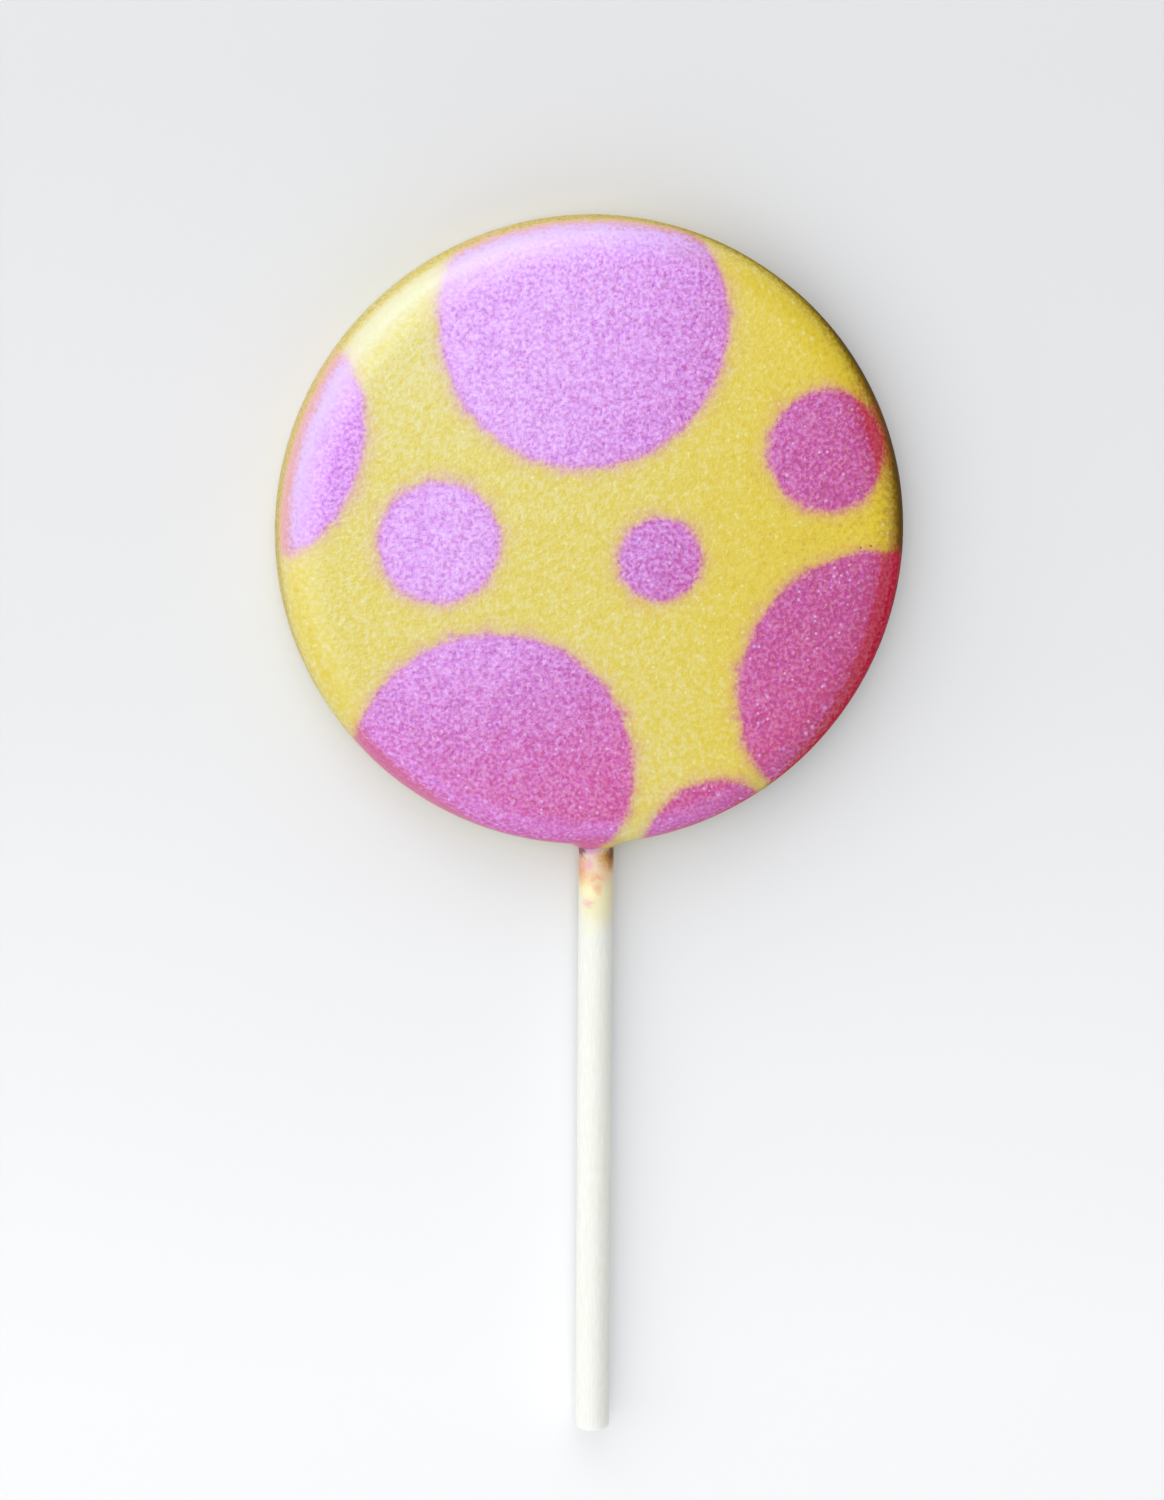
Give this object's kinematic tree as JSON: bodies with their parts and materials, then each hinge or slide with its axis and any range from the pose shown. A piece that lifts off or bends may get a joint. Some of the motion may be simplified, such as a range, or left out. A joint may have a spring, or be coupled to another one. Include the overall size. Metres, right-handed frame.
{
  "type": "chocolate lollipop",
  "caption": "Round flat chocolate lollipop with a rounded front edge on a straight paper stick, dusted with lustre in a dotted pattern, lying on its back.",
  "frame": {"origin": "centre of the disc's flat back", "axes": "+Z out of the decorated face, the stick along -Y, so +Y runs from the stick to the top of the disc; +X to the right as seen from above"},
  "size_m": [0.07, 0.14, 0.0086],
  "materials": {
    "lustre_chocolate": "satin pearl lustre on moulded chocolate: yellow gold ground with rose and violet pearl dots",
    "rolled_paper": "smooth white rolled paper"
  },
  "bodies": {
    "root": {"chocolate_disc": "lustre_chocolate", "stick": "rolled_paper"}
  },
  "joints": []
}
